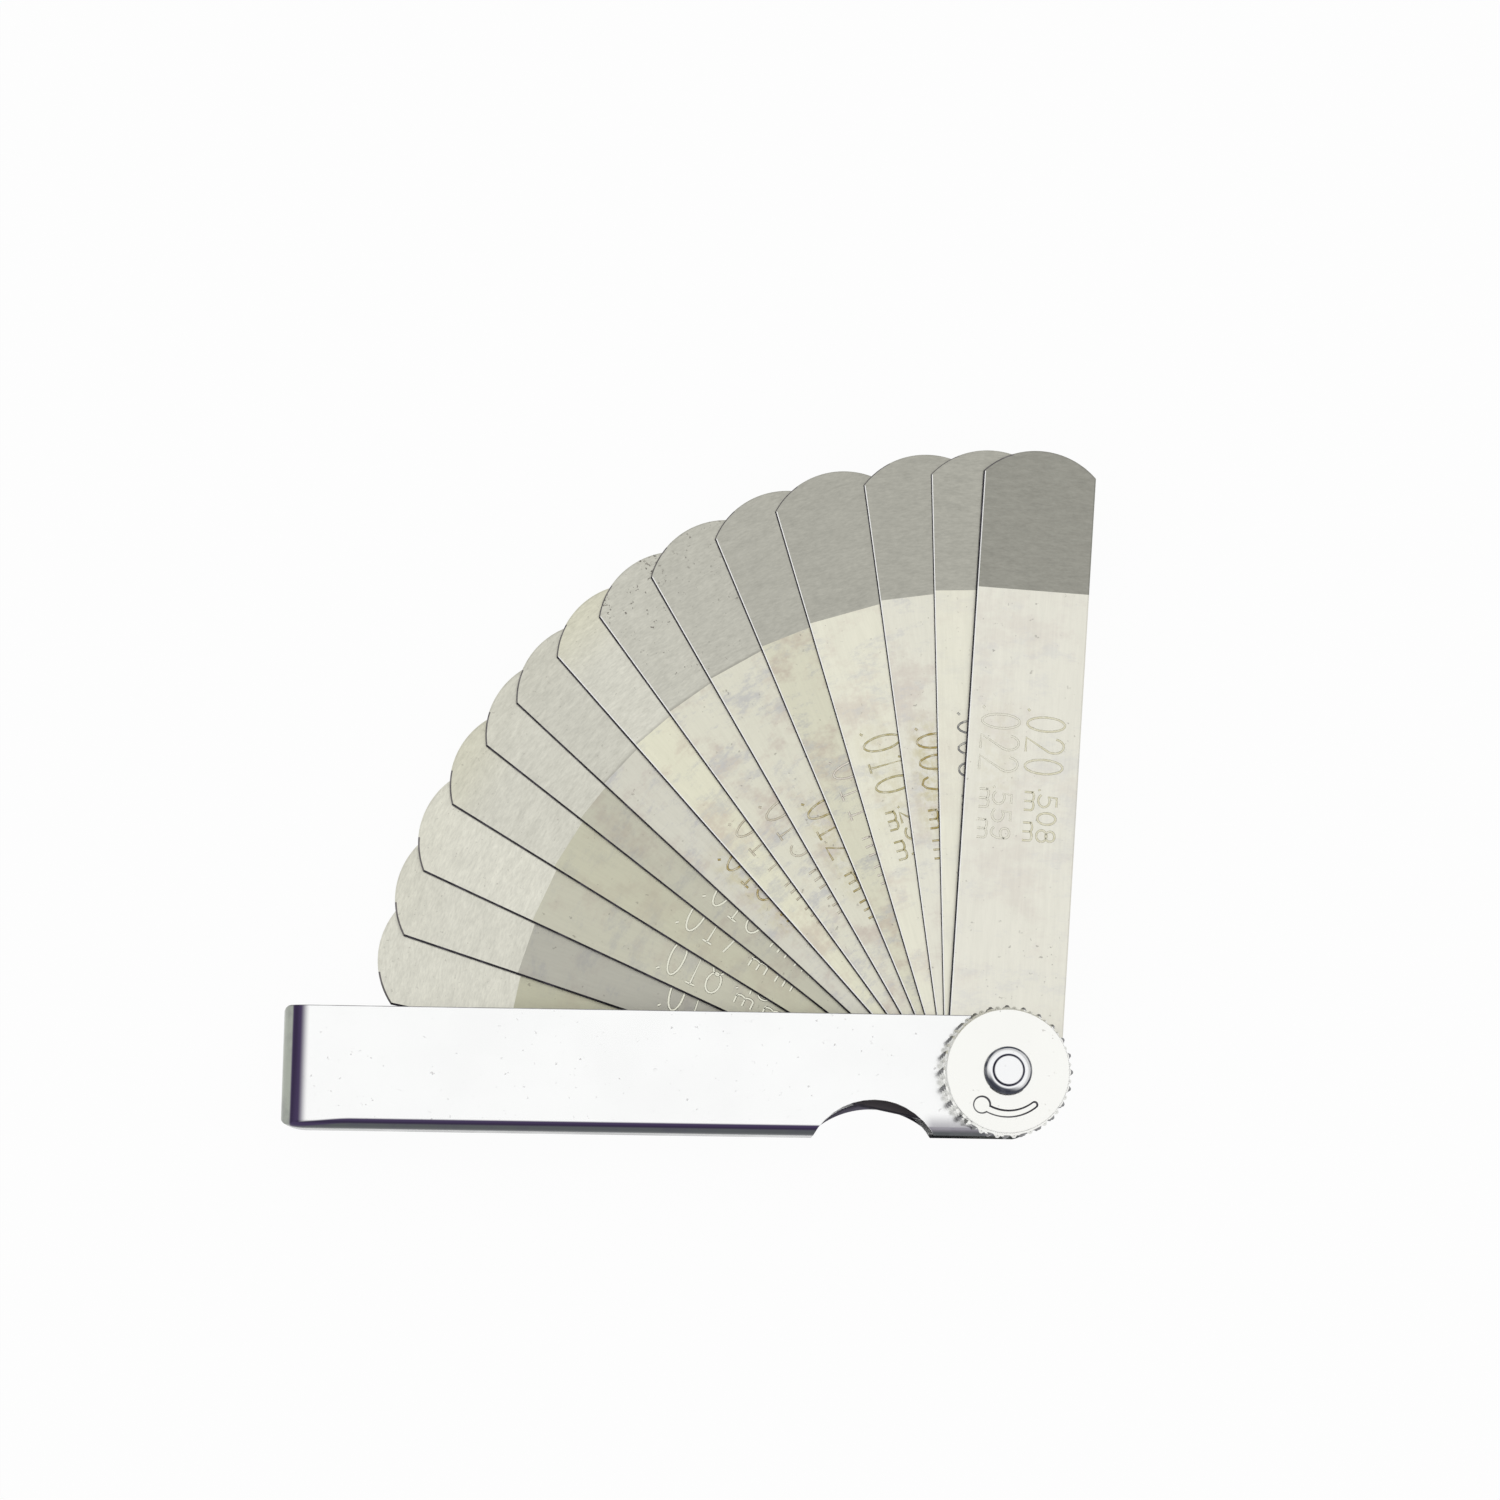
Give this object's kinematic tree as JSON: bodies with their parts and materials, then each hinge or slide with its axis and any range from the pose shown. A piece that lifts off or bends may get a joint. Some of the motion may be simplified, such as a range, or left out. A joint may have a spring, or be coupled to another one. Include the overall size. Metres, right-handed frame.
{
  "type": "feeler gauge",
  "caption": "Folding feeler gauge with flat steel thickness blades fanned from a pivot screw, a folded sheet case with a thumb notch, and a knurled lock nut that clamps the stack.",
  "frame": {"origin": "on the pivot axis, at the flat underside of the pivot screw's head", "axes": "+Z along the pivot axis towards the lock nut, -X along the case, +Y the side on which the blades fan out"},
  "size_m": [0.0894, 0.0776, 0.0143],
  "materials": {
    "case_sheet": "bright plated, finely speckled",
    "blade_steel": "ground tip, brushed and lightly stained shank",
    "screw_steel": "satin turned",
    "nut_plating": "bright plated, diamond knurl"
  },
  "bodies": {
    "case": {"case": "case_sheet", "pivot_screw": "screw_steel"},
    "blade_01": {"blade_01": "blade_steel"},
    "blade_02": {"blade_02": "blade_steel"},
    "blade_03": {"blade_03": "blade_steel"},
    "blade_04": {"blade_04": "blade_steel"},
    "blade_05": {"blade_05": "blade_steel"},
    "blade_06": {"blade_06": "blade_steel"},
    "blade_07": {"blade_07": "blade_steel"},
    "blade_08": {"blade_08": "blade_steel"},
    "blade_09": {"blade_09": "blade_steel"},
    "blade_10": {"blade_10": "blade_steel"},
    "blade_11": {"blade_11": "blade_steel"},
    "blade_12": {"blade_12": "blade_steel"},
    "blade_13": {"blade_13": "blade_steel"},
    "blade_14": {"blade_14": "blade_steel"},
    "lock_nut": {"lock_nut": "nut_plating"}
  },
  "joints": [
    {"name": "blade_01_swing", "type": "hinge", "parent": "case", "child": "blade_01", "pos_m": [0, 0, 0.00217], "axis": [0, 0, 1], "range_deg": [-308.7, 11.3]},
    {"name": "blade_02_swing", "type": "hinge", "parent": "case", "child": "blade_02", "pos_m": [0, 0, 0.00273], "axis": [0, 0, 1], "range_deg": [-302.2, 17.8]},
    {"name": "blade_03_swing", "type": "hinge", "parent": "case", "child": "blade_03", "pos_m": [0, 0, 0.00324], "axis": [0, 0, 1], "range_deg": [-295.9, 24.1]},
    {"name": "blade_04_swing", "type": "hinge", "parent": "case", "child": "blade_04", "pos_m": [0, 0, 0.00372], "axis": [0, 0, 1], "range_deg": [-289.1, 30.9]},
    {"name": "blade_05_swing", "type": "hinge", "parent": "case", "child": "blade_05", "pos_m": [0, 0, 0.00418], "axis": [0, 0, 1], "range_deg": [-282.7, 37.3]},
    {"name": "blade_06_swing", "type": "hinge", "parent": "case", "child": "blade_06", "pos_m": [0, 0, 0.00462], "axis": [0, 0, 1], "range_deg": [-277.8, 42.2]},
    {"name": "blade_07_swing", "type": "hinge", "parent": "case", "child": "blade_07", "pos_m": [0, 0, 0.00503], "axis": [0, 0, 1], "range_deg": [-272, 48]},
    {"name": "blade_08_swing", "type": "hinge", "parent": "case", "child": "blade_08", "pos_m": [0, 0, 0.00541], "axis": [0, 0, 1], "range_deg": [-266.5, 53.5]},
    {"name": "blade_09_swing", "type": "hinge", "parent": "case", "child": "blade_09", "pos_m": [0, 0, 0.00577], "axis": [0, 0, 1], "range_deg": [-260.3, 59.7]},
    {"name": "blade_10_swing", "type": "hinge", "parent": "case", "child": "blade_10", "pos_m": [0, 0, 0.0061], "axis": [0, 0, 1], "range_deg": [-253.2, 66.8]},
    {"name": "blade_11_swing", "type": "hinge", "parent": "case", "child": "blade_11", "pos_m": [0, 0, 0.00641], "axis": [0, 0, 1], "range_deg": [-246.9, 73.1]},
    {"name": "blade_12_swing", "type": "hinge", "parent": "case", "child": "blade_12", "pos_m": [0, 0, 0.00669], "axis": [0, 0, 1], "range_deg": [-238.1, 81.9]},
    {"name": "blade_13_swing", "type": "hinge", "parent": "case", "child": "blade_13", "pos_m": [0, 0, 0.00694], "axis": [0, 0, 1], "range_deg": [-231.6, 88.4]},
    {"name": "blade_14_swing", "type": "hinge", "parent": "case", "child": "blade_14", "pos_m": [0, 0, 0.00734], "axis": [0, 0, 1], "range_deg": [-226.6, 93.4]},
    {"name": "lock_nut_turn", "type": "hinge", "parent": "case", "child": "lock_nut", "pos_m": [0, 0, 0.0107], "axis": [0, 0, 1], "range_deg": [0, 135]}
  ]
}
